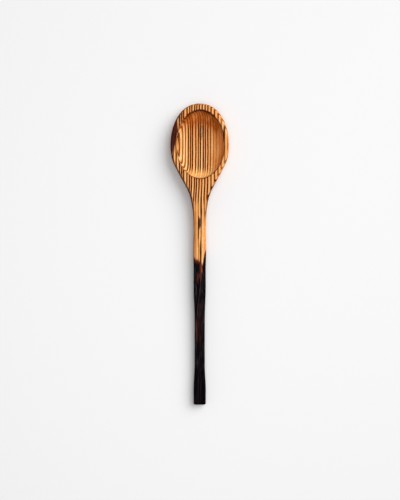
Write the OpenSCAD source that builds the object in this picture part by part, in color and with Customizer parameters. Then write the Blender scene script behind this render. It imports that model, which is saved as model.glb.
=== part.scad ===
// Long-handled wooden cooking spoon, carved from one blank, with a charred handle.
// It lies on a table: +Z is up, +Y runs from the butt of the handle to the tip of the
// bowl, and the origin is under the middle of its length, on the table. Millimetres.

/* [Length] */
// Length from the butt of the handle to the tip of the bowl
overall_length = 300; // [285:1:330]
// Distance from the tip of the bowl back to its widest place
widest_from_tip = 42.5; // [38:0.5:46]

/* [Bowl] */
// Width of the bowl over its rim
bowl_width = 58; // [54:0.5:62]
// Height of the flat rim above the table
rim_height = 15; // [14:0.5:18]
// Squareness of the front of the bowl's outline: 2 is an ellipse
tip_squareness = 2.15; // [2:0.05:2.6]
// Squareness of the bowl's underside: 2 is an ellipse
belly_squareness = 2.1; // [2:0.05:2.6]
// Radius of the rounding along the upper edge of the whole spoon
upper_round = 2.2; // [1.5:0.1:3]

/* [Hollow] */
// Width of the hollow at the rim
hollow_width = 48.6; // [42:0.2:50]
// Length of the hollow at the rim
hollow_length = 68; // [60:0.5:70]
// Depth of the hollow under the rim
hollow_depth = 9.8; // [8:0.1:10.5]
// Squareness of the hollow's profile: 2 is an ellipse, and more has a flatter floor
hollow_squareness = 5; // [3:0.5:7]
// Distance from the tip of the bowl to the front edge of the hollow
hollow_from_tip = 6.6; // [5:0.1:9]
// How far the hollow is carved to the right of the middle
hollow_shift = 0.6; // [0:0.1:1.2]

/* [Handle] */
// Width of the handle where it flares at the butt
butt_width = 12; // [11:0.5:14]
// Width of the narrowest stretch of the handle
waist_width = 10; // [9.5:0.5:11]
// Thickness of the handle at the butt
butt_thickness = 9; // [8:0.5:11]
// Radius of the rounding along the lower edges of the handle
lower_round = 3.2; // [2:0.1:3.6]
// Radius of the rounding round the butt
butt_round = 1.2; // [1:0.1:1.6]

/* [Char] */
// Length of handle that is burnt, from the butt
char_length = 142; // [100:1:170]
// Depth of the burnt layer
char_depth = 0.6; // [0.4:0.1:0.9]
// Depth of the burnt layer where it starts
char_edge_depth = 0.2; // [0.1:0.05:0.4]
// Length over which the burnt layer reaches its full depth
char_fade = 18; // [10:1:30]

/* [Facets] */
// Facets down each side of the belly
belly_facets = 9; // [6:1:12]
// Facets round each upper edge
edge_facets = 4; // [3:1:6]
// Cross-sections from the tip to the widest place
tip_sections = 15; // [12:1:18]
// Spacing of the cross-sections along the back of the bowl
bowl_step = 4; // [3:0.5:6]
// Spacing of the cross-sections along the handle
handle_step = 8; // [6:1:12]
// Facets from the edge of the hollow down to the middle of its floor
hollow_facets = 14; // [10:1:18]

/* [Hidden] */

tip_y = overall_length / 2;
butt_y = -tip_y;
widest_y = tip_y - widest_from_tip;
char_y = butt_y + char_length;
// The back of the bowl runs out into the handle between these two
bowl_end_y = tip_y - 74;
handle_start_y = tip_y - 118;
// The neck, behind which the cross-sections may stand further apart
neck_y = tip_y - 108;
// The handle keeps one section over this length at the butt, and rests on it
flare_length = 15;
// The belly is carved this far below the table line, then sanded flat to it
belly_cut = 0.3;
// Height of the upright strip between the upper rounding and the belly
rim_side = 0.8;
// Share of the belly's half-width that is curved; the rest is the flat keel
belly_curved = 0.96;
// The foremost cross-section is drawn as it would be this far behind the tip
tip_blunt = 0.02;
// How far the cut for the hollow starts above the rim
hollow_lift = 1;
// The butt is left this much too long, then sawn off
saw_waste = 1;
// More than any gap, for blocks that cut
beyond = 20;

// Half-widths of the outline behind its widest place, by distance from the tip
outline_stations = [
    [widest_from_tip, bowl_width / 2],
    [54, bowl_width * 0.478],
    [66, bowl_width * 0.388],
    [78, bowl_width * 0.277],
    [89, bowl_width * 0.180],
    [98, bowl_width * 0.139],
    [110, bowl_width * 0.114],
    [126, waist_width * 0.605],
    [146, waist_width * 0.64],
    [165, waist_width * 0.60],
    [186, waist_width * 0.595],
    [212, waist_width * 0.508],
    [236, waist_width / 2],
    [overall_length - 38, waist_width * 0.512],
    [overall_length - flare_length, butt_width / 2],
    [overall_length, butt_width / 2],
];

// Height of the top, by distance from the tip: flat over the bowl, then falling away
top_stations = [
    [0, rim_height],
    [80, rim_height],
    [112, rim_height * 0.955],
    [150, rim_height * 0.84],
    [220, rim_height * 0.68],
    [overall_length - flare_length, butt_thickness],
    [overall_length, butt_thickness],
];

// Height of the underside behind the bowl's lowest place, by distance from the tip
underside_stations = [
    [widest_from_tip, -belly_cut],
    [58, 0.4],
    [74, 2.4],
    [90, 4.4],
    [106, 5.0],
    [130, 4.2],
    [165, 2.8],
    [220, 1.1],
    [overall_length - flare_length, 0],
    [overall_length, 0],
];

// Eases from 0 at a to 1 at b
function ease(a, b, v) =
    let (t = min(1, max(0, (v - a) / (b - a)))) t * t * (3 - 2 * t);

// Goes from a at share 0 to b at share 1
function blend(a, b, share) = a + (b - a) * share;

// Slope of a station table between entries i and i + 1
function slope(table, i) = (table[i + 1][1] - table[i][1]) / (table[i + 1][0] - table[i][0]);

// Tangent at entry i: level at the ends and at a crest or a dip
function tangent(table, i) =
    (i <= 0 || i >= len(table) - 1) ? 0 :
    let (before = slope(table, i - 1), after = slope(table, i))
    before * after <= 0 ? 0 : 2 * before * after / (before + after);

// Smooth curve through a station table, at v
function curve_at(table, v, i = 0) =
    (i < len(table) - 2 && v > table[i + 1][0]) ? curve_at(table, v, i + 1) :
    let (span = table[i + 1][0] - table[i][0],
         t = min(1, max(0, (v - table[i][0]) / span)))
    table[i][1] * (1 + 2 * t) * (1 - t) * (1 - t)
    + table[i + 1][1] * t * t * (3 - 2 * t)
    + span * t * (1 - t) * ((1 - t) * tangent(table, i) - t * tangent(table, i + 1));

// Falls from 1 at t = 0 to 0 at t = 1 along a superellipse
function round_fall(t, squareness) =
    pow(max(0, 1 - pow(min(1, max(0, t)), squareness)), 1 / squareness);

function half_width(y) =
    y >= widest_y
        ? bowl_width / 2 * round_fall((y - widest_y) / widest_from_tip, tip_squareness)
        : curve_at(outline_stations, tip_y - y);

// How much a section belongs to the handle: 0 in the bowl, 1 past the neck
function handle_share(y) = 1 - ease(handle_start_y, bowl_end_y, y);

// Height where the upper rounding meets the upright side
function shoulder(y) = curve_at(top_stations, tip_y - y) - upper_round;

function top_height(y) =
    shoulder(y) + upper_round * round_fall(1 - (tip_y - y) / upper_round, 2);

// Height where the upright side meets the rounding underneath
function hip(y) =
    blend(shoulder(y) - rim_side,
          curve_at(underside_stations, tip_y - y) + lower_round, handle_share(y));

function underside_height(y) =
    y < widest_y
        ? curve_at(underside_stations, tip_y - y)
        : hip(y) - (hip(y) + belly_cut)
            * round_fall((y - widest_y) / widest_from_tip, belly_squareness);

// One corner of a section, from its upright end to its level end
function corner(across, tall, facets, squareness) =
    [for (i = [0 : facets])
        let (a = 90 * i / facets)
        [across * pow(cos(a), 2 / squareness), tall * pow(sin(a), 2 / squareness)]];

function reversed(list) = [for (i = [len(list) - 1 : -1 : 0]) list[i]];

// One cross-section at y, with its surface drawn in by inset
function section(y, inset = 0) =
    let (half = half_width(y) - inset,
         share = handle_share(y),
         high = shoulder(y),
         low = hip(y),
         upper = corner(min(upper_round - inset, half * 0.45), top_height(y) - inset - high,
                        edge_facets, 2),
         under = corner(blend(half * belly_curved, lower_round - inset, share),
                        low - underside_height(y) - inset,
                        belly_facets, blend(belly_squareness, 2, share)),
         upper_flat = half - upper[0][0],
         under_flat = half - under[0][0])
    concat(
        [for (p = upper) [upper_flat + p[0], y, high + p[1]]],
        [for (p = reversed(upper)) [-upper_flat - p[0], y, high + p[1]]],
        [for (p = under) [-under_flat - p[0], y, low - p[1]]],
        [for (p = reversed(under)) [under_flat + p[0], y, low - p[1]]]);

// The foremost section, closed off flat on the tip itself
tip_section = [for (p = section(tip_y - tip_blunt)) [p[0], tip_y, p[2]]];

// Depth of the char at y: thin where it starts, then full
function char_at(y) = blend(char_edge_depth, char_depth, ease(0, char_fade, char_y - y));

// Places of the cross-sections, from the tip to the start of the char
sound_stops = concat(
    [for (i = [1 : tip_sections]) widest_y + widest_from_tip * cos(90 * i / tip_sections)],
    [for (y = [widest_y - bowl_step : -bowl_step : neck_y]) y],
    [for (y = [neck_y - bowl_step : -handle_step : char_y + bowl_step]) y],
    [char_y]);

// Places of the cross-sections along the char, to the start of the rounding of the butt
char_gaps = round((char_length - butt_round) / handle_step);
char_stops = [for (i = [1 : char_gaps]) char_y - (char_length - butt_round) * i / char_gaps];

// Sections round the butt, with the surface drawn in by depth
function butt_sections(depth) =
    [for (a = [30, 60, 90])
        section(butt_y + butt_round - (butt_round - depth) * sin(a),
                depth + (butt_round - depth) * (1 - cos(a)))];

// The same stretch of handle under the char
core_sections = concat(
    [section(char_y, char_at(char_y))],
    [for (y = char_stops) section(y, char_at(y))],
    butt_sections(char_depth));

// Faces between neighbouring sections of one size, numbered from first
function skin(count, size, first = 0, inward = false) =
    [for (r = [0 : count - 2], i = [0 : size - 1])
        let (a = first + r * size + i,
             b = first + r * size + (i + 1) % size)
        each inward
            ? [[a, b, b + size], [a, b + size, a + size]]
            : [[b, a, a + size], [b, a + size, b + size]]];

// The carved form before the hollow is cut, down to the wood under the char
module blank() {
    rings = concat([tip_section], [for (y = sound_stops) section(y)], core_sections);
    size = len(rings[0]);
    front = [[for (i = [0 : size - 1]) i]];
    back = [[for (i = [size - 1 : -1 : 0]) (len(rings) - 1) * size + i]];
    polyhedron(points = [for (ring = rings) each ring],
               faces = concat(front, skin(len(rings), size), back), convexity = 6);
}

// What the gouge clears out of the bowl: a dish with steep walls and a flat floor
module hollow() {
    profile = [
        for (i = [0:hollow_facets])
            let (a = 90 * i / hollow_facets)
            [hollow_width / 2 * pow(cos(a), 2 / hollow_squareness), -hollow_depth * sin(a)]
    ];
    translate([hollow_shift, tip_y - hollow_from_tip - hollow_length / 2, rim_height])
        scale([1, hollow_length / hollow_width, 1])
            rotate_extrude($fn = 96)
                polygon([[0, hollow_lift], [hollow_width / 2, hollow_lift], each profile]);
}

// Sound wood: bowl, neck and handle, with the core that runs on under the char
module carved_wood() {
    color("peru")
        difference() {
            blank();
            hollow();
            translate([-bowl_width, butt_y - beyond, -beyond])
                cube([2 * bowl_width, overall_length + 2 * beyond, beyond]);
        }
}

// Burnt wood: a cup-shaped skin round the core, sawn flat across the butt
module char_layer() {
    outer = concat([section(char_y)], [for (y = char_stops) section(y)], butt_sections(0),
        [[for (p = section(butt_y, butt_round)) [p[0], butt_y - saw_waste, p[2]]]]);
    size = len(outer[0]);
    first = len(outer) * size;
    mouth = [for (i = [0 : size - 1])
        let (j = (i + 1) % size)
        each [[i, j, first + j], [i, first + j, first + i]]];
    ends = [[for (i = [size - 1 : -1 : 0]) first - size + i],
            [for (i = [0 : size - 1]) first + (len(core_sections) - 1) * size + i]];
    color([0.14, 0.11, 0.11])
        difference() {
            polyhedron(points = concat([for (ring = outer) each ring],
                                       [for (ring = core_sections) each ring]),
                       faces = concat(skin(len(outer), size),
                                      skin(len(core_sections), size, first, true), mouth, ends),
                       convexity = 6);
            translate([-beyond, butt_y - beyond, -beyond / 2])
                cube([2 * beyond, beyond, 2 * beyond]);
        }
}

carved_wood();
char_layer();
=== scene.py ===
# A long-handled wooden cooking spoon with a charred handle, lying on a pale table.
import math

import bpy
import numpy as np
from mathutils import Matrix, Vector


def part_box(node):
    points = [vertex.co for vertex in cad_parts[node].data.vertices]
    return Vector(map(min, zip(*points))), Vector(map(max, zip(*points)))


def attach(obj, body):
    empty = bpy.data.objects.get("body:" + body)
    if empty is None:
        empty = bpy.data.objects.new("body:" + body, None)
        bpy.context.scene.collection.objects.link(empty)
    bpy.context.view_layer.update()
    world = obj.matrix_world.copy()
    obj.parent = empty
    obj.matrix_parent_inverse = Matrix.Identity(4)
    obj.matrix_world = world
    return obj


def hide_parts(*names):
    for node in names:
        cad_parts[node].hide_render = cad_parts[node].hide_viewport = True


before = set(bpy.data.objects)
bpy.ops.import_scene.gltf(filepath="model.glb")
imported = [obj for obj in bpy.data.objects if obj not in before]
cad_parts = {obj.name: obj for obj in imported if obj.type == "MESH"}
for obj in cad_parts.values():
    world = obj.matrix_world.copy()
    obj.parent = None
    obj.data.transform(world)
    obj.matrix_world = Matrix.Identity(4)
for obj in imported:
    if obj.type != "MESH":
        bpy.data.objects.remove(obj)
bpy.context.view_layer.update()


# ---------------------------------------------------------------------------------------
# The spoon's form: bowl, neck and handle are one carved piece. The bowl is flat across
# the rim with a softened outer edge, and its belly runs out under the neck into a handle
# of squared section that thins towards the middle and flares again at the butt.
# ---------------------------------------------------------------------------------------
# Places are in millimetres: across (+X), along from the tip (back along -Y) and up (+Z)
MM = 0.001
wood_high = np.array(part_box("carved_wood")[1]) / MM
char_low, char_high = (np.array(corner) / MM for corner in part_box("char_layer"))
TIP_Y = wood_high[1]
BUTT = TIP_Y - char_low[1]
CHAR_START = TIP_Y - char_high[1]
RIM_HEIGHT = wood_high[2]
HALF_BOWL = wood_high[0]

WIDEST = 42.5
TIP_SQUARENESS = 2.15
RIM_END = 80
RIM_SIDE = 0.8
BELLY_SQUARENESS = 2.1
BELLY_SHARE = 0.96
# The belly would hang this far under the table, and is sanded off flat there
SANDED_OFF = 0.3
# The bowl's section turns into the handle's between these places
NECK_START = 74
NECK_END = 118
UPPER_ROUND = 2.2
LOWER_ROUND = 3.2
BUTT_FLARE = 15

# Half-width of the outline, top and underside behind the bowl, by distance from the tip
OUTLINE = [(WIDEST, HALF_BOWL), (54, 27.7), (66, 22.5), (78, 16.05), (89, 10.45), (98, 8.05),
           (110, 6.6), (126, 6.05), (146, 6.4), (165, 6.0), (186, 5.95), (212, 5.1),
           (236, 5.0), (BUTT - 38, 5.12), (BUTT - BUTT_FLARE, 6.0), (BUTT, 6.0)]
TOP = [(0, RIM_HEIGHT), (RIM_END, RIM_HEIGHT), (112, 14.35), (150, 12.6), (220, 10.2),
       (BUTT - BUTT_FLARE, 9.0), (BUTT, 9.0)]
UNDERSIDE = [(WIDEST, -SANDED_OFF), (58, 0.4), (74, 2.4), (90, 4.4), (106, 5.0), (130, 4.2),
             (165, 2.8), (220, 1.1), (BUTT - BUTT_FLARE, 0), (BUTT, 0)]


def ease(a, b, v):
    """Goes smoothly from 0 at a to 1 at b."""
    t = np.clip((v - a) / (b - a), 0, 1)
    return t * t * (3 - 2 * t)


def faired(stations, along):
    """A smooth curve through stations, level at both ends, with no overshoot."""
    at, value = np.array(stations, float).T
    slopes = np.diff(value) / np.diff(at)
    before, after = slopes[:-1], slopes[1:]
    both = np.where(before + after, before + after, 1)
    tangents = np.concatenate([[0], np.where(before * after > 0, 2 * before * after / both, 0), [0]])
    i = np.clip(np.searchsorted(at, along, side="right") - 1, 0, len(at) - 2)
    span = at[i + 1] - at[i]
    t = np.clip((along - at[i]) / span, 0, 1)
    return (value[i] * (1 + 2 * t) * (1 - t) ** 2 + value[i + 1] * t * t * (3 - 2 * t)
            + span * t * (1 - t) * ((1 - t) * tangents[i] - t * tangents[i + 1]))


def sanded(stations, along):
    """The same curve with its joins sanded out over a short block."""
    block = 5
    reach = np.linspace(-block, block, 21)
    weights = np.exp(-(2 * reach / block) ** 2)
    start = stations[0][0]
    blurred = sum(w * faired(stations, along + r) for r, w in zip(reach, weights)) / weights.sum()
    return np.where(along > start + block, blurred, faired(stations, along))


def fall(t, squareness):
    """Falls from 1 to 0 along a superellipse."""
    return np.maximum(0, 1 - np.clip(t, 0, 1) ** squareness) ** (1 / squareness)


def half_width(along):
    front = HALF_BOWL * fall((WIDEST - along) / WIDEST, TIP_SQUARENESS)
    return np.where(along < WIDEST, front, sanded(OUTLINE, along))


def handle_share(along):
    return ease(NECK_START, NECK_END, along)


def shoulder(along):
    """Height at which the upper edge starts to round over."""
    return sanded(TOP, along) - UPPER_ROUND


def top_height(along):
    return shoulder(along) + UPPER_ROUND * fall(1 - along / UPPER_ROUND, 2)


def hip(along):
    """Height at which the upright side turns into the belly, or into the handle's lower edge."""
    share = handle_share(along)
    bowl_hip = shoulder(along) - RIM_SIDE
    handle_hip = sanded(UNDERSIDE, along) + LOWER_ROUND
    return (1 - share) * bowl_hip + share * handle_hip


def underside_height(along):
    front = hip(along) - (hip(along) + SANDED_OFF) * fall((WIDEST - along) / WIDEST, BELLY_SQUARENESS)
    return np.where(along < WIDEST, front, sanded(UNDERSIDE, along))


# The hollow: cut a little to the right of the middle, with a broad floor, steep walls and
# a crisp edge
HOLLOW_HALF = np.array([24.3, 34.0])
HOLLOW_DEPTH = 9.8
HOLLOW_ACROSS = 0.6
HOLLOW_ALONG = 40.6
HOLLOW_SQUARENESS = 5
HOLLOW_EDGE = 0.35
# Outside the hollow its surface carries on upwards this steeply, clear of the rim
HOLLOW_RUN_OUT = 12


def hollow_reach(across, along):
    """0 at the middle of the hollow and 1 on its edge."""
    half_across, half_along = HOLLOW_HALF
    return np.hypot((across - HOLLOW_ACROSS) / half_across, (along - HOLLOW_ALONG) / half_along)


def carved_height(across, along, flat):
    """Height of the upper side: the flat, or the hollow where that is lower."""
    reach = hollow_reach(across, along)
    depth = np.sqrt(np.maximum(0, 1 - np.minimum(reach, 1) ** HOLLOW_SQUARENESS))
    dish = RIM_HEIGHT - HOLLOW_DEPTH * np.where(reach < 1, depth, HOLLOW_RUN_OUT * (1 - reach))
    h = np.clip(0.5 + 0.5 * (dish - flat) / HOLLOW_EDGE, 0, 1)
    return dish + (flat - dish) * h - HOLLOW_EDGE * h * (1 - h)


def quarter(across, tall, count, squareness):
    """A quarter of a superellipse from its upright end to its level end, one row per section."""
    a = np.linspace(0, math.pi / 2, count)
    power = 2 / squareness[:, None]
    return across[:, None] * np.cos(a) ** power, tall[:, None] * np.sin(a) ** power


def top_spread(flat_half, along, counts):
    """Places across the upper side, from right to left, gathered at the edges of the hollow."""
    rim_count, edge_count, floor_count = counts
    # Past the hollow's ends its two edges close up and go on as a narrow strip
    inside = np.clip(1 - ((along - HOLLOW_ALONG) / HOLLOW_HALF[1]) ** 2, 0, 1)
    hollow_half = np.sqrt(HOLLOW_HALF[0] ** 2 * inside + (0.3 * flat_half) ** 2 * (1 - inside))
    middle = HOLLOW_ACROSS * ease(6, 12, flat_half)
    right = np.minimum(middle + hollow_half, 0.9 * flat_half)
    left = np.maximum(middle - hollow_half, -0.9 * flat_half)
    near = np.minimum(0.7, 0.1 * flat_half)
    stops = [flat_half, right + near, right - near, left + near, left - near, -flat_half]
    counts = [rim_count, edge_count, floor_count, edge_count, rim_count]
    runs = [start[:, None] + (end - start)[:, None] * np.linspace(0, 1, n, endpoint=False)
            for start, end, n in zip(stops[:-1], stops[1:], counts)]
    return np.concatenate([*runs, stops[-1][:, None]], axis=1)


def sections(along, inset, counts):
    """Rings of points round the spoon, one per place along it, drawn in by inset."""
    corner_count, side_count, belly_count, keel_count, top_counts = counts
    inset = inset + 0 * along
    half = half_width(along) - inset
    share = handle_share(along)
    high, low = shoulder(along), hip(along)
    top = top_height(along) - inset
    reach = np.minimum(UPPER_ROUND - inset, half * 0.45)
    ux, uz = quarter(reach, top - high, corner_count, np.full_like(along, 2.0))
    curved = (1 - share) * half * BELLY_SHARE + share * (LOWER_ROUND - inset)
    squareness = (1 - share) * BELLY_SQUARENESS + share * 2
    bx, bz = quarter(curved, low - underside_height(along) - inset, belly_count, squareness)
    side = np.linspace(0, 1, side_count, endpoint=False)[1:]
    upright = low[:, None] + (high - low)[:, None] * side
    flat, keel = half - reach, (half - curved)[:, None]
    across_top = top_spread(flat, along, top_counts)[:, 1:-1]
    keel_run = keel * np.linspace(-1, 1, keel_count + 2)[1:-1]
    wide = half[:, None] + 0 * upright
    x = [flat[:, None] + ux, across_top, -(flat[:, None] + ux)[:, ::-1], -wide[:, ::-1],
         -(keel + bx), keel_run, (keel + bx)[:, ::-1], wide]
    z = [high[:, None] + uz, carved_height(across_top, along[:, None], top[:, None]),
         (high[:, None] + uz)[:, ::-1], upright[:, ::-1], low[:, None] - bz,
         underside_height(along)[:, None] + inset[:, None] + 0 * keel_run,
         (low[:, None] - bz)[:, ::-1], upright]
    x, z = np.concatenate(x, axis=1), np.concatenate(z, axis=1)
    return np.stack([x, along[:, None] + 0 * x, z], axis=2)


def outward(points):
    """Unit normals of a tube of rings."""
    around = np.roll(points, -1, 1) - np.roll(points, 1, 1)
    onward = np.gradient(points, axis=0)
    normal = np.cross(around, onward)
    return normal / np.maximum(np.linalg.norm(normal, axis=2, keepdims=True), 1e-9)


# ---------------------------------------------------------------------------------------
# The board and the flame. The spoon is cut from one board of striped wood, whose growth
# rings run its length and lean to the right as they go down, so the hollow cuts them further
# over than the rim. A flame browned it and burnt the handle's end, and it was then brushed.
# ---------------------------------------------------------------------------------------
# Places of the dark ring lines across the rim, counted from the left. The first ones only
# show in the hollow and on the underside, and the last is past the right edge.
RINGS = [-50, -47.2, -44.6, -41.8, -39.0, -36.0, -32.6, -29.1, -25.9, -22.9, -19.7, -17.6,
         -15.6, -12.2, -9.7, -7.6, -4.7, -2.7, -0.2, 2.6, 5.5, 8.3, 11.6, 15.1, 18.6,
         21.9, 25.0, 28.0, 31.0]
# By the hollow's floor the rings have moved about 9 mm to the right. They move fastest just
# under the rim, and a little further on the far left. At the neck they sway to the left.
RING_SHIFT = 8.9
RING_SHIFT_DEPTH = 3.2
RING_LEAN = 0.04
LEFT_SPREAD = 0.02
NECK_SWAY = 0.8

# Depths of what is cut into the surface, in millimetres
BRUSHED_OUT = 0.12
TOOL_MARKS = 0.05
BURNT_FIBRES = 0.07

# Where the char line crosses the handle: place across it, and distance from the tip
CHAR_LINE = [(-7, 153), (-5, 155.5), (-3.4, 157), (-2, 156), (-1, 158), (-0.2, 157), (0.6, 151),
             (1.2, 157), (2.0, 161), (2.8, 161), (3.8, 156), (4.5, 151), (5.5, 148), (7, 145)]
# Scorched places: across, from the tip, half-width, half-length, strength. The first is the
# large flame mark on the left of the rim.
SCORCHES = [(-27, 31, 7.5, 17, 1.0), (24.3, 31, 1.2, 9, 0.9), (1.6, 27, 3.0, 9, 0.48),
            (-7.5, 40, 1.8, 12, 0.2), (-2.5, 20, 4.5, 7, 0.15), (1.5, 106, 1.0, 17, 1.0),
            (0.3, 118, 2.2, 7, 0.7), (-0.7, 119, 1.4, 8, 1.0), (-1.3, 128, 0.8, 9, 0.95),
            (0.8, 148, 1.0, 17, 0.9), (-20, 11, 5, 9, 0.4), (4.8, 106, 0.9, 14, 0.6)]
# Places in the char that stayed reddish brown, written in the same way
EMBERS = [(2.0, 161, 1.2, 9, 0.9), (1.1, 169, 0.6, 12, 0.5), (-2.5, 171.5, 0.3, 5, 0.35),
          (-1.6, 174, 0.35, 7, 0.5), (-2.9, 176, 0.3, 4, 0.3), (-1.7, 201.5, 0.4, 4, 0.25),
          (-3.0, 226, 0.7, 15, 0.36), (0.5, 218, 3.0, 30, 0.09)]
# How ragged the edges of those places are, as a share of their size
SCORCH_RAGGED = 0.22
EMBER_RAGGED = 0.06
# The flame marked the rim's side, and a dark line runs round the hollow's edge that is partly painted
# shade at its top and right, but nothing below this height
EDGE_MARK_FLOOR = 9
# Left of this place the marks stay on the rim and out of the hollow
RIM_MARKS_ONLY = -22


def random_lattice(ix, iy, iz, seed):
    """A repeatable number from 0 to 1 for each lattice corner."""
    mixed = ix * 73856093 ^ iy * 19349663 ^ iz * 83492791 ^ seed * 2654435761
    mixed = (mixed ^ (mixed >> 13)) * 1274126177 & 0x7FFFFFFF
    mixed = (mixed ^ (mixed >> 16)) & 0xFFFFF
    return mixed / 0xFFFFF


def ripple(x, y, z, sizes, seed):
    """Smooth random relief from -1 to 1, whose bumps measure sizes in x, y and z."""
    places = [np.asarray(v, float) / size for v, size in zip((x, y, z), sizes)]
    cells = [np.floor(p).astype(np.int64) for p in places]
    blends = [(p - c) ** 2 * (3 - 2 * (p - c)) for p, c in zip(places, cells)]
    total = 0
    for corner in range(8):
        steps = [(corner >> axis) & 1 for axis in range(3)]
        weight = 1
        for blend, step in zip(blends, steps):
            weight = weight * (blend if step else 1 - blend)
        total = total + weight * random_lattice(*(c + s for c, s in zip(cells, steps)), seed)
    return 2 * total - 1


def drop_from_top(along, up):
    """Millimetres below the rim, or below the top of the neck and handle."""
    return np.where(along > RIM_END, sanded(TOP, along), RIM_HEIGHT) - up


def ring_place(across, along, up):
    """Where the ring through a point crosses the rim."""
    drop = np.maximum(drop_from_top(along, up), 0)
    shift = RING_SHIFT * (1 - np.exp(-drop / RING_SHIFT_DEPTH)) + RING_LEAN * drop
    shift = shift * (1 + LEFT_SPREAD * np.clip(-12 - across, 0, 12))
    sway = 0.2 * ripple(along, 0 * along, 0 * along, (34, 1, 1), 5) - NECK_SWAY * ease(78, 96, along)
    waver = 0.15 * ripple(across, along, up, (5, 15, 5), 8)
    return across - shift - sway + waver


def ring_number(across, along, up):
    """Counts ring lines from the left; it is a whole number on each line."""
    return np.interp(ring_place(across, along, up), RINGS, np.arange(len(RINGS)))


def ring_gap(across, along, up):
    """Millimetres between the ring lines on both sides of a point."""
    middles = (np.array(RINGS[1:]) + np.array(RINGS[:-1])) / 2
    return np.interp(ring_place(across, along, up), middles, np.diff(RINGS))


def upper_side(across, along, up):
    """1 on the rim, in the hollow and on top of the handle, and 0 on the underside."""
    top = np.where(along < RIM_END, carved_height(across, along, RIM_HEIGHT), sanded(TOP, along))
    return ease(4.8, 2.5, top - up)


def in_hollow(across, along, up):
    """1 inside the hollow and 0 elsewhere."""
    return ease(1.01, 0.97, hollow_reach(across, along)) * upper_side(across, along, up)


def boldness(points):
    """How dark the ring lines are, up to 1: faint on the handle and at the hollow's right
    and near end."""
    across, along, up = np.moveaxis(points, 2, 0)
    hollow = in_hollow(across, along, up)
    rim = (1 - hollow) * ease(14, 22, across) * ease(78, 70, along)
    on_top = ease(5, 2, drop_from_top(along, up))
    right = 0.65 * ease(9.5, 12.5, across) + 0.2 * ease(14, 20, across)
    near_end = 0.85 * ease(62, 71, along)
    left = 0.3 * ease(-10, -15, across)
    far_end = 0.6 * ease(24, 12, along)
    handle = ease(93, 103, along) * on_top * (0.6 + 0.35 * ease(1.8, 2.6, across))
    faint = np.maximum.reduce([right, near_end, left, far_end])
    return 1 - np.maximum.reduce([hollow * faint, 0.45 * rim, handle])


def toasting_and_painted_shade(points):
    """0 on bare wood and 1 where the flame browned it. In the hollow it also holds painted shade,
    most at the top end and on the far and right walls, and painted light on the left wall and near
    end.
    """
    across, along, up = np.moveaxis(points, 2, 0)
    half = np.maximum(half_width(along), 0.1)
    edge = 1 - np.clip((half - np.abs(across)) / 2.6, 0, 1)
    neck = ease(70, 86, along) * ease(124, 104, along)
    rim = ease(0.98, 1.04, hollow_reach(across, along)) * ease(90, 70, along)
    patchy = 0.5 + 0.5 * ripple(across, along, up, (9, 16, 9), 21)
    hollow = in_hollow(across, along, up)
    # Painted shade and light in the hollow, as lit from the upper right: shade on the far wall, the
    # top end and the right wall, light on the left wall and the near end
    far_wall_painted_shade = ease(0.7, 0.95, hollow_reach(across, along)) * hollow * ease(24, 10, along)
    top_end_painted_shade = hollow * ease(32, 9, along)
    right_wall_painted_shade = hollow * ease(7, 20, across)
    left_wall_painted_light = hollow * ease(-10, -16, across)
    near_end = hollow * ease(50, 64, along)
    return np.clip(0.22 + 0.3 * edge * (0.35 + neck) + 0.12 * rim + 0.05 * neck + 0.4 * far_wall_painted_shade
                   + 1.2 * top_end_painted_shade + 0.6 * right_wall_painted_shade - 0.2 * left_wall_painted_light
                   - 0.2 * near_end + 0.3 * (patchy - 0.5), 0, 1)


def patches(places, raggedness, points):
    """How strongly a list of ragged patches on the upper side covers each point."""
    across, along, up = np.moveaxis(points, 2, 0)
    ragged = raggedness * ripple(across, along, up, (0.7, 6, 3), 33)
    on_top = upper_side(across, along, up)
    on_rim = ease(0.98, 1.01, hollow_reach(across, along))
    on_top = on_top * np.where(across < RIM_MARKS_ONLY, on_rim, 1)
    strongest = 0
    for x, y, wide, long, strength in places:
        away = np.hypot((across - x) / wide, (along - y) / long)
        strongest = np.maximum(strongest, strength * on_top * ease(1.2, 0.5, away + ragged))
    return strongest


def scorching_and_edge_shade(points):
    """0 on clean wood and 1 where the flame scorched it, mostly along its edges. The left outer edge
    and the top and right of the hollow's edge are darker partly as painted shade.
    """
    across, along, up = np.moveaxis(points, 2, 0)
    ragged = 0.35 * ripple(across, along, up, (1.1, 5, 3), 35)
    left_flame = ease(6, 24, along) * ease(58, 40, along) * (across < 0)
    outer = ease(1.9 + 2.2 * left_flame, 0.3 + 0.9 * left_flame, half_width(along) - np.abs(across))
    outer = outer * (1 - 0.7 * ease(3, 9, drop_from_top(along, up)))
    # The left edge gets more than the right: scorch, and painted shade where the rounding turns away
    # from the light
    left_edge_scorch_and_shade = 0.8 + 0.2 * left_flame + 0.25 * ease(80, 90, along) * ease(112, 98, along)
    right_side = 0.25 + 0.5 * ease(74, 84, along) * ease(118, 110, along)
    side = np.where(across < 0, left_edge_scorch_and_shade, right_side) * (1 - 0.35 * ease(100, 125, along))
    # A dark line round the hollow's edge: flame mark, with painted shade added towards its top end
    # and right, where the rim shades the hollow
    off_edge = np.abs(hollow_reach(across, along) - 1.0) * HOLLOW_HALF[0]
    edge_line = 0.4 + 0.2 * ease(-20, 5, across) + 0.15 * ease(20, 8, along)
    edge_line = edge_line * ease(1.0, 0.2, off_edge) * (up > EDGE_MARK_FLOOR)
    marks = patches(SCORCHES, SCORCH_RAGGED, points)
    return np.maximum.reduce([marks, outer * side * (1 + ragged), edge_line * (1 + ragged)])


def past_char_line(points):
    """Millimetres past the char line, ragged along the grain."""
    across, along, up = np.moveaxis(points, 2, 0)
    line = np.interp(across, *np.array(CHAR_LINE, float).T)
    low_side = ease(2, 8, drop_from_top(along, up))
    ragged = (1.3 + 2 * low_side) * ripple(across, along, up, (0.8, 9, 0.8), 41)
    return along - line - 5 * low_side + ragged


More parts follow.
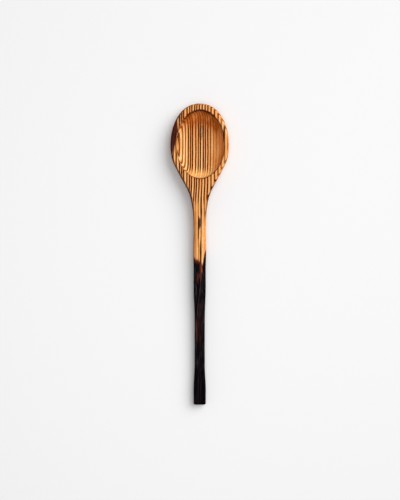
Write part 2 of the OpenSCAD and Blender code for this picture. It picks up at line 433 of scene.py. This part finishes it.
def carved_relief(points):
    """Millimetres that the surface is cut in: brushed rings, tool marks and burnt fibres."""
    across, along, up = np.moveaxis(points, 2, 0)
    ring = ring_number(across, along, up)
    gap = ring_gap(across, along, up)
    past_line = (ring - np.floor(ring)) * gap
    brushed_out = ease(0.1, 0.5, past_line) * ease(0.5, 1.5, gap - past_line)
    brushed_out = brushed_out * (0.75 + 0.25 * ripple(across, along, up, (1.2, 4, 1.2), 52))
    tool = ripple(across, along, up, (8, 11, 30), 61)
    tool = tool + 0.5 * ripple(across, along, up, (3.5, 6, 9), 62)
    burnt = ease(-2, 6, past_char_line(points))
    fibres = ripple(across, along, up, (0.6, 25, 0.6), 71)
    return (BRUSHED_OUT * brushed_out * (1 - 0.5 * burnt) + TOOL_MARKS * tool
            + BURNT_FIBRES * burnt * fibres)


def solid(name, rings, shown):
    """A closed mesh through rings of points, with its grain and its burning on every point.

    The rings that show are cut in by the relief, and the underside is sanded flat where
    it rests on the table."""
    points = rings.copy()
    points[shown] -= outward(rings[shown]) * carved_relief(rings[shown])[:, :, None]
    points[:, :, 2] = np.maximum(points[:, :, 2], 0)
    rows, size = points.shape[:2]
    ends = np.stack([points[0].mean(0), points[-1].mean(0)])
    corners = np.concatenate([points.reshape(-1, 3), ends])
    place = np.stack([corners[:, 0], TIP_Y - corners[:, 1], corners[:, 2]], axis=1) * MM
    here = np.arange(size)
    beside = (here + 1) % size
    starts = np.arange(rows - 1)[:, None] * size
    onward = starts + size
    # Four-sided faces between neighbouring rings, and three-sided ones that close both ends
    faces = np.stack([starts + here, onward + here, onward + beside, starts + beside], axis=2)
    faces = faces.reshape(-1, 4).tolist()
    first_end, last_end = len(corners) - 2, len(corners) - 1
    last_ring = (rows - 1) * size
    faces += [[first_end, int(p), int(q)] for p, q in zip(here, beside)]
    faces += [[last_end, int(last_ring + q), int(last_ring + p)] for p, q in zip(here, beside)]
    mesh = bpy.data.meshes.new(name)
    mesh.from_pydata(place.tolist(), [], faces)
    mesh.polygons.foreach_set("use_smooth", [True] * len(mesh.polygons))
    marked = corners[None, :, :]
    fields = {"ring": ring_number(*np.moveaxis(marked, 2, 0)), "toast_and_shade": toasting_and_painted_shade(marked),
              "scorch_and_edge_shade": scorching_and_edge_shade(marked), "char": past_char_line(marked),
              "ember": patches(EMBERS, EMBER_RAGGED, marked), "bold": boldness(marked),
              "gap": ring_gap(*np.moveaxis(marked, 2, 0))}
    for field, values in fields.items():
        mesh.attributes.new(field, "FLOAT", "POINT").data.foreach_set("value", values.ravel())
    mesh.update()
    piece = bpy.data.objects.new(name, mesh)
    bpy.context.scene.collection.objects.link(piece)
    return piece


def graded(start, end, finest, coarse, middle, reach):
    """Places from start to end, closest together round the middle."""
    stops = [start]
    while stops[-1] < end:
        step = finest + (coarse - finest) * float(ease(reach, 4 * reach, abs(stops[-1] - middle)))
        stops.append(stops[-1] + step)
    return np.array(stops[:-1] + [end])


# ---------------------------------------------------------------------------------------
# The finish: bare wood browned by a flame, brushed along the grain and oiled, and the
# handle charred. One group gives both pieces their colour, gloss and finest relief.
# The colour also carries painted shade and painted light in the hollow and along the left edge.
# ---------------------------------------------------------------------------------------
def srgb(red, green, blue):
    """A screen colour from 0 to 255 as light."""
    values = [c / 255 for c in (red, green, blue)]
    return [*(c / 12.92 if c <= 0.04045 else ((c + 0.055) / 1.055) ** 2.4 for c in values), 1.0]


class Tree:
    """Adds nodes to a node tree and joins them up."""

    def __init__(self, tree):
        self.tree = tree

    def add(self, kind, inputs=(), **settings):
        node = self.tree.nodes.new("ShaderNode" + kind)
        for key, value in settings.items():
            setattr(node, key, value)
        pairs = inputs.items() if isinstance(inputs, dict) else enumerate(inputs)
        for key, value in pairs:
            if isinstance(value, bpy.types.NodeSocket):
                self.tree.links.new(value, node.inputs[key])
            elif value is not None:
                node.inputs[key].default_value = value
        return node

    def math(self, operation, *values, clamp=False):
        return self.add("Math", values, operation=operation, use_clamp=clamp).outputs[0]

    def ease(self, value, a, b, low=0.0, high=1.0):
        """Goes smoothly from low where value is a to high where it is b."""
        settings = {"Value": value, "From Min": a, "From Max": b, "To Min": low, "To Max": high}
        return self.add("MapRange", settings, interpolation_type="SMOOTHSTEP").outputs[0]

    def field(self, name):
        """A value that the mesh carries on its points."""
        return self.add("Attribute", attribute_name=name).outputs["Fac"]

    def mix(self, share, a, b):
        """Colour a turned into colour b by share."""
        return self.add("Mix", {0: share, 6: a, 7: b}, data_type="RGBA").outputs[2]

    def stretched(self, place, sizes, detail, seed=0.0):
        """Noise from 0 to 1 whose grains measure sizes in millimetres."""
        stretch = [1 / (size * MM) for size in sizes]
        moved = self.add("VectorMath", [place, stretch, (seed, seed, seed)], operation="MULTIPLY_ADD")
        noise = {"Vector": moved.outputs[0], "Scale": 1.0, "Detail": detail}
        return self.add("TexNoise", noise).outputs[0]

    def scatter(self, value, amount):
        """Centres noise on 0 and sets how far it reaches."""
        return self.math("MULTIPLY", self.math("SUBTRACT", value, 0.5), amount)

    def give(self, outputs, **values):
        """Joins values to the outputs of a group by name."""
        for label, value in values.items():
            self.tree.links.new(value, outputs.inputs[label])


def group(name, inputs, outputs):
    """A node group with its inputs and their usual values, and its outputs and their kinds."""
    tree = bpy.data.node_groups.new(name, "ShaderNodeTree")
    for label, value in inputs.items():
        socket = tree.interface.new_socket(label, in_out="INPUT", socket_type="NodeSocketFloat")
        socket.default_value = value
    for label, kind in outputs.items():
        tree.interface.new_socket(label, in_out="OUTPUT", socket_type="NodeSocket" + kind)
    return tree, Tree(tree), tree.nodes.new("NodeGroupInput"), tree.nodes.new("NodeGroupOutput")


# The ring lines. A line is dark for about a millimetre before each whole ring and breaks
# off just past it, with a browned halo before it and pale wood in the middle of the gap.
masks = {"Line": "Float", "Halo": "Float", "Pores": "Float", "Pale": "Float"}
rings_group, t, given, gives = group("ring_lines", {"Line Width": 1.0}, masks)
place = t.add("TexCoord").outputs["Object"]
wander = t.stretched(place, (1.6, 6, 1.6), detail=3)
ring = t.math("ADD", t.scatter(wander, 0.1), t.field("ring"))
whole_ring = t.math("FLOOR", ring)
gap = t.field("gap")
past_line = t.math("MULTIPLY", t.math("SUBTRACT", ring, whole_ring), gap)
to_line = t.math("SUBTRACT", gap, past_line)
beads = t.stretched(place, (0.9, 1.8, 0.9), detail=1, seed=3)
half_line = t.math("MULTIPLY", given.outputs["Line Width"], t.ease(beads, 0.25, 0.75, 0.75, 1.1))
soft_side = t.ease(t.math("DIVIDE", to_line, half_line), 1.05, 0.82)
sharp_side = t.ease(past_line, 0.4, 0.2)
line = t.math("MAXIMUM", soft_side, sharp_side)
halo = t.math("MULTIPLY", t.ease(to_line, 2.0, 0.9), t.field("bold"))
along_ring = t.stretched(place, (2.5, 22, 2.5), detail=1, seed=7)
line = t.math("MULTIPLY", line, t.ease(along_ring, 0.3, 0.6, 0.8, 1.0))
line = t.math("MULTIPLY", line, t.field("bold"))
pores = t.stretched(place, (0.18, 1.5, 0.18), detail=0, seed=11)
pores = t.math("MULTIPLY", t.ease(pores, 0.62, 0.74), t.ease(to_line, 1.6, 0.3, 0.12, 1.0))
each_ring = t.add("TexWhiteNoise", {"W": whole_ring}, noise_dimensions="1D").outputs["Value"]
pale = t.math("MULTIPLY", t.ease(to_line, 0.9, 1.6), t.ease(each_ring, 0.0, 1.0, 0.5, 1.0))
evenness = t.ease(t.field("bold"), 0.0, 0.8, 0.3, 1.0)
pale = t.math("MULTIPLY_ADD", t.math("SUBTRACT", pale, 0.45), evenness, 0.45)
t.give(gives, Line=line, Halo=halo, Pores=pores, Pale=pale)

LINE_WIDTH = 1.05
LIGHT_WOOD = srgb(255, 222, 154)
MID_WOOD = srgb(255, 151, 49)
TOASTED_WOOD = srgb(198, 88, 0)
WELL_TOASTED_AND_SHADED_WOOD = srgb(124, 56, 2)
LINE_BROWN = srgb(50, 2, 0)
SCORCH_AND_EDGE_SHADE = srgb(34, 6, 8)
SCORCH_PALE = srgb(116, 50, 32)
CHAR_FRINGE = srgb(96, 28, 12)
CHAR_BLACK = srgb(6, 2, 5)
CHAR_ASH = srgb(92, 85, 88)
CHAR_BROWN = srgb(104, 46, 32)
CHAR_TAN = srgb(190, 112, 68)

# The fired wood: pale wood, browned, lined, scorched and charred, one over the other
fired_group, t, given, gives = group("fired_wood", {"Line Width": 1.0, "Fibre Depth": 0.5},
                                     {"Colour": "Color", "Roughness": "Float", "Height": "Float"})
place = t.add("TexCoord").outputs["Object"]
rings_node = t.add("Group", node_tree=rings_group)
t.tree.links.new(given.outputs["Line Width"], rings_node.inputs["Line Width"])
line, halo, pores, pale = (rings_node.outputs[k] for k in ("Line", "Halo", "Pores", "Pale"))
toast_and_shade, scorch_and_edge_shade, char = t.field("toast_and_shade"), t.field("scorch_and_edge_shade"), t.field("char")

# Browned wood with its lines and pores. The browning also carries the hollow's painted shade and
# painted light.
fibre = t.stretched(place, (0.5, 16, 0.5), detail=3, seed=17)
cloud = t.stretched(place, (9, 20, 9), detail=2, seed=23)
fine = t.stretched(place, (0.9, 24, 0.9), detail=2, seed=19)
pale = t.math("ADD", t.math("MULTIPLY", pale, 0.75), t.ease(fine, 0.4, 0.65, 0.0, 0.45), clamp=True)
ground = t.mix(pale, MID_WOOD, LIGHT_WOOD)
ground = t.mix(t.ease(fibre, 0.5, 0.7, 0.0, 0.35), ground, TOASTED_WOOD)
browning_and_shade = t.math("MULTIPLY", toast_and_shade, t.ease(cloud, 0.25, 0.75, 0.6, 1.0), clamp=True)
ground = t.mix(t.math("MULTIPLY", browning_and_shade, 0.95), ground, TOASTED_WOOD)
# The deepest brown is reached where the painted shade at the hollow's top end is strongest
ground = t.mix(t.ease(browning_and_shade, 0.65, 1.0, 0.0, 0.5), ground, WELL_TOASTED_AND_SHADED_WOOD)
ground = t.mix(t.math("MULTIPLY", halo, 0.8), ground, TOASTED_WOOD)
wood = t.mix(line, ground, LINE_BROWN)
wood = t.mix(t.math("MULTIPLY", pores, 0.7), wood, LINE_BROWN)

# Scorched along its fibres, the dark lines first. The same mask carries painted shade on the left
# edge and round the top and right of the hollow's edge.
scorch_and_shade_here = t.math("ADD", scorch_and_edge_shade, t.scatter(fibre, 0.5))
scorch_and_shade_here = t.math("ADD", scorch_and_shade_here, t.math("MULTIPLY", line, 0.15))
scorch_and_shade_here = t.math("MULTIPLY", t.ease(scorch_and_shade_here, 0.05, 0.95), t.ease(scorch_and_edge_shade, 0.0, 0.2))
scorch_and_shade_colour = t.mix(t.ease(fibre, 0.42, 0.6, 0.55, 0.0), SCORCH_AND_EDGE_SHADE, SCORCH_PALE)
wood = t.mix(scorch_and_shade_here, wood, scorch_and_shade_colour)

# Charred past a brown fringe: black with an ashy bloom, and brown where embers died early
char_here = t.math("ADD", char, t.scatter(fibre, 5))
char_here = t.math("ADD", char_here, t.math("MULTIPLY", line, 1.5))
fringe = t.ease(char_here, -3.5, 0.5)
black = t.ease(char_here, 0.0, 4.5)
wood = t.mix(fringe, wood, CHAR_FRINGE)
ash = t.stretched(place, (1.6, 50, 1.6), detail=2, seed=31)
crust = t.stretched(place, (0.4, 16, 0.4), detail=2, seed=37)
ashen = t.math("MULTIPLY", t.ease(ash, 0.35, 0.75, 0.15, 1.0), t.ease(crust, 0.48, 0.78))
ashen = t.math("MULTIPLY", ashen, t.ease(char, 95, 132, 1.0, 0.3))
coal = t.mix(ashen, CHAR_BLACK, CHAR_ASH)
ember = t.math("MULTIPLY", t.field("ember"), t.ease(fibre, 0.35, 0.6, 0.5, 1.0))
coal = t.mix(t.ease(ember, 0.0, 0.5), coal, CHAR_BROWN)
coal = t.mix(t.ease(ember, 0.45, 1.0), coal, CHAR_TAN)
wood = t.mix(black, wood, coal)

# The lines are rougher and the char is a little smoother. Lines and pores lie lower.
rough = t.math("ADD", 0.55, t.math("MULTIPLY", line, 0.12))
rough = t.math("ADD", rough, t.scatter(fibre, 0.25))
rough = t.math("SUBTRACT", rough, t.math("MULTIPLY", black, 0.08))
height = t.math("MULTIPLY", fibre, given.outputs["Fibre Depth"])
height = t.math("SUBTRACT", height, t.math("MULTIPLY", pores, 0.6))
height = t.math("SUBTRACT", height, t.math("MULTIPLY", line, 0.25))
t.give(gives, Colour=wood, Roughness=rough, Height=height)


FIBRE_RELIEF = 0.2


def fired(name, line_width, fibre_depth, specular):
    """A material of flame-toned wood: satin at most, with its fibres standing in relief."""
    material = bpy.data.materials.new(name)
    material.use_nodes = True
    t = Tree(material.node_tree)
    shader = material.node_tree.nodes["Principled BSDF"]
    wood = t.add("Group", node_tree=fired_group)
    wood.inputs["Line Width"].default_value = line_width
    wood.inputs["Fibre Depth"].default_value = fibre_depth
    relief = {"Height": wood.outputs["Height"], "Strength": 0.6, "Distance": FIBRE_RELIEF * MM}
    bump = t.add("Bump", relief)
    t.tree.links.new(wood.outputs["Colour"], shader.inputs["Base Color"])
    t.tree.links.new(wood.outputs["Roughness"], shader.inputs["Roughness"])
    t.tree.links.new(bump.outputs["Normal"], shader.inputs["Normal"])
    shader.inputs["Specular IOR Level"].default_value = specular
    return material


# ---------------------------------------------------------------------------------------
# The sound wood. It is everything that shows bare, and the core that runs on under the
# char. Bowl and hollow are carved finely enough to hold the ring lines in relief.
# ---------------------------------------------------------------------------------------
# The core lies under the char by this much at its edge, and by this much further on
CHAR_EDGE_DEPTH = 0.2
CHAR_DEPTH = 0.6
CHAR_FADE = 18
BUTT_ROUND = 1.2


def char_depth(along):
    return CHAR_EDGE_DEPTH + (CHAR_DEPTH - CHAR_EDGE_DEPTH) * ease(0, CHAR_FADE, along - CHAR_START)


def butt_rings(depth, counts, steps):
    """Rings round the butt, drawn in by depth."""
    rings = []
    reach = BUTT_ROUND - depth
    for a in np.linspace(0, math.pi / 2, steps + 1)[1:]:
        ring = sections(np.array([BUTT - BUTT_ROUND]), depth + reach * (1 - math.cos(a)), counts)
        ring[:, :, 1] = BUTT - BUTT_ROUND + reach * math.sin(a)
        rings.append(ring)
    return np.concatenate(rings)


# Points round a section: rounded edge, side, belly, keel, and across the top (rim, edge of
# the hollow, floor)
bowl_counts = (9, 7, 26, 5, (10, 8, 84))
# Sections are closest at the tip and at the near edge of the hollow, and spread out down the
# slim part of the neck
SLIM_NECK = 96
BOWL_STEP = 0.42
front = WIDEST * (1 - np.cos(np.linspace(0.006, math.pi / 2, 185)))
back = graded(WIDEST, SLIM_NECK, 0.16, BOWL_STEP, HOLLOW_ALONG + HOLLOW_HALF[1], 1.0)[1:]
neck = graded(SLIM_NECK, CHAR_START, BOWL_STEP, 0.8, SLIM_NECK, 8)[1:]
sound = np.concatenate([front, back, neck])
core = np.linspace(CHAR_START, BUTT - BUTT_ROUND, 40)
wood_rings = np.concatenate([sections(sound, 0, bowl_counts),
                             sections(core, char_depth(core), bowl_counts),
                             butt_rings(CHAR_DEPTH, bowl_counts, 2)])
carved_wood = solid("carved_wood_body", wood_rings, slice(0, len(sound)))
oiled = fired("oiled_striped_wood", line_width=LINE_WIDTH, fibre_depth=0.5, specular=0.03)
carved_wood.data.materials.append(oiled)
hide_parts("carved_wood")
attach(carved_wood, "root")


# ---------------------------------------------------------------------------------------
# The char: the burnt skin of the handle. It is the same surface carried on to the butt,
# with burnt fibres standing in faint ridges, and it closes round the core.
# ---------------------------------------------------------------------------------------
handle_counts = (9, 10, 12, 9, (14, 5, 10))
burnt = graded(CHAR_START, BUTT - BUTT_ROUND, 0.5, 0.7, CHAR_START, 12)
skin_rings = np.concatenate([sections(burnt, 0, handle_counts), butt_rings(0, handle_counts, 6)])
lining_rings = np.concatenate([sections(core, char_depth(core), handle_counts),
                               butt_rings(CHAR_DEPTH, handle_counts, 2)])
cup_rings = np.concatenate([lining_rings[::-1], skin_rings])
char_layer = solid("char_skin", cup_rings, slice(len(lining_rings), None))
charred = fired("charred_wood", line_width=LINE_WIDTH, fibre_depth=1.0, specular=0.01)
char_layer.data.materials.append(charred)
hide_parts("char_layer")
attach(char_layer, "root")


# ---------------------------------------------------------------------------------------
# The table is a plain pale sheet, much larger than the spoon. It isn't part of it.
# ---------------------------------------------------------------------------------------
TABLE_HALF = 3.0
# Just under the spoon, so that the two never share a surface
TABLE_DROP = 0.0001
table_mesh = bpy.data.meshes.new("table")
corners = [(-TABLE_HALF, -TABLE_HALF, 0), (TABLE_HALF, -TABLE_HALF, 0),
           (TABLE_HALF, TABLE_HALF, 0), (-TABLE_HALF, TABLE_HALF, 0)]
table_mesh.from_pydata(corners, [], [(0, 1, 2, 3)])
table = bpy.data.objects.new("table", table_mesh)
table.location.z = -TABLE_DROP
bpy.context.scene.collection.objects.link(table)
table_paint = bpy.data.materials.new("pale_table")
table_paint.use_nodes = True
paint = table_paint.node_tree.nodes["Principled BSDF"]
paint.inputs["Base Color"].default_value = (0.84, 0.84, 0.845, 1)
paint.inputs["Roughness"].default_value = 0.6
table_mesh.materials.append(table_paint)


# ---------------------------------------------------------------------------------------
# Studio: one large soft light from the upper right, a pale room round it, and a camera
# that looks straight down.
# ---------------------------------------------------------------------------------------
ROOM_BRIGHTNESS = 0.345
world = bpy.data.worlds.new("pale_room")
world.use_nodes = True
room = world.node_tree.nodes["Background"]
room.inputs["Color"].default_value = (1.0, 1.0, 1.0, 1)
room.inputs["Strength"].default_value = ROOM_BRIGHTNESS
bpy.context.scene.world = world
bpy.context.scene.view_settings.view_transform = "Standard"


def round_light(name, size, watts, place):
    """A round soft light."""
    data = bpy.data.lights.new(name, "AREA")
    data.shape = "DISK"
    data.size = size
    data.energy = watts
    light = bpy.data.objects.new(name, data)
    light.location = place
    bpy.context.scene.collection.objects.link(light)
    return light


LIGHT_DISTANCE = 6.0
LIGHT_ELEVATION = math.radians(46)
LIGHT_TURN = math.radians(37)
towards = Vector((math.cos(LIGHT_ELEVATION) * math.cos(LIGHT_TURN),
                  math.cos(LIGHT_ELEVATION) * math.sin(LIGHT_TURN), math.sin(LIGHT_ELEVATION)))
softbox = round_light("softbox", size=6.0, watts=346, place=towards * LIGHT_DISTANCE)
softbox.rotation_euler = (-towards).to_track_quat("-Z", "Y").to_euler()

# A weak light over the handle brightens the table round it
overhead = round_light("overhead", size=0.6, watts=2.0, place=(-0.05, -0.08, 0.95))
overhead.visible_camera = False

# The camera's height over the table, and the length of table in its view from top to bottom
CAMERA_HEIGHT = 1.0
VIEW_TALL = 0.5035
VIEW_MIDDLE = (0.0003, 0.0045)
camera_data = bpy.data.cameras.new("camera")
camera_data.sensor_width = 36
camera_data.lens = camera_data.sensor_width * CAMERA_HEIGHT / VIEW_TALL
camera = bpy.data.objects.new("camera", camera_data)
camera.location = (*VIEW_MIDDLE, CAMERA_HEIGHT)
bpy.context.scene.collection.objects.link(camera)
bpy.context.scene.camera = camera
